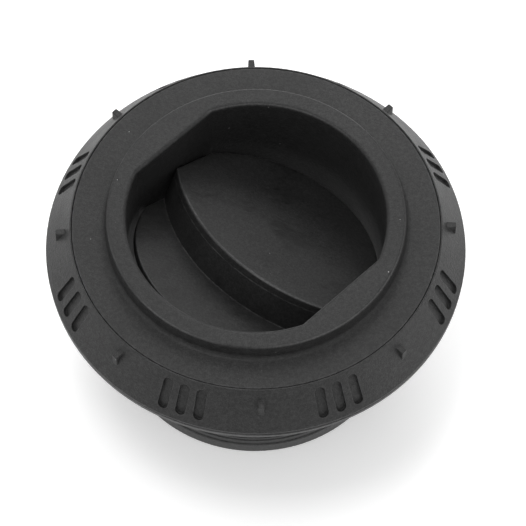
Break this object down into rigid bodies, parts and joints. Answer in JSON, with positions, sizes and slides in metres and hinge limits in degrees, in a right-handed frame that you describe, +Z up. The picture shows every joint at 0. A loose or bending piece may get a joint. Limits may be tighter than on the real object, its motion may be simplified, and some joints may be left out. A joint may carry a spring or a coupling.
{
  "type": "desk grommet",
  "caption": "Round desk cable grommet: ribbed liner, conical ring with grip fins, and a turntable whose raised collar holds a tilting two-level flap.",
  "frame": {"origin": "centre of the desk hole at the height of the desk's top face, which is the underside of the gasket", "axes": "+Z up along the hole's axis; +X and +Y run through two neighbouring quarter fins of the ring; at rest the flap's raised half lies towards azimuth 42.6 degrees, measured from +X towards +Y"},
  "size_m": [0.086, 0.086, 0.0482],
  "materials": {
    "shell_plastic": "fine moulded grain, black",
    "liner_plastic": "smooth moulded, black",
    "flap_plastic": "fine moulded grain, black, rubbed on the raised half",
    "acetal": "natural acetal",
    "brake_fibre": "pressed fibre",
    "rubber": "matte rubber",
    "steel": "zinc plated"
  },
  "bodies": {
    "housing": {"liner_sleeve": "liner_plastic", "end_ring": "liner_plastic", "desk_gasket": "rubber", "skirt_ring": "shell_plastic", "ring_screw_1": "steel", "ring_screw_2": "steel", "ring_screw_3": "steel", "ring_screw_4": "steel", "glide_ring": "acetal"},
    "turntable": {"turntable": "shell_plastic", "retaining_clip": "steel", "brake_washer": "brake_fibre", "stop_pad_left": "rubber", "stop_pad_right": "rubber", "pivot_bush_left": "acetal", "pivot_bush_right": "acetal"},
    "flap": {"flap_plate": "flap_plastic", "flap_cover": "flap_plastic", "cover_screw_1": "steel", "cover_screw_2": "steel", "cover_screw_3": "steel", "pivot_pin_left": "steel", "pivot_pin_right": "steel", "pivot_o_ring_left": "rubber", "pivot_o_ring_right": "rubber"}
  },
  "joints": [
    {"name": "turntable_spin", "type": "hinge", "parent": "housing", "child": "turntable", "pos_m": [0, 0, 0], "axis": [0, 0, 1], "continuous": true},
    {"name": "flap_tilt", "type": "hinge", "parent": "turntable", "child": "flap", "pos_m": [0.00177, 0.00162, -0.0016], "axis": [-0.6769, 0.7361, 0], "range_deg": [-26.7, 63.3]}
  ]
}
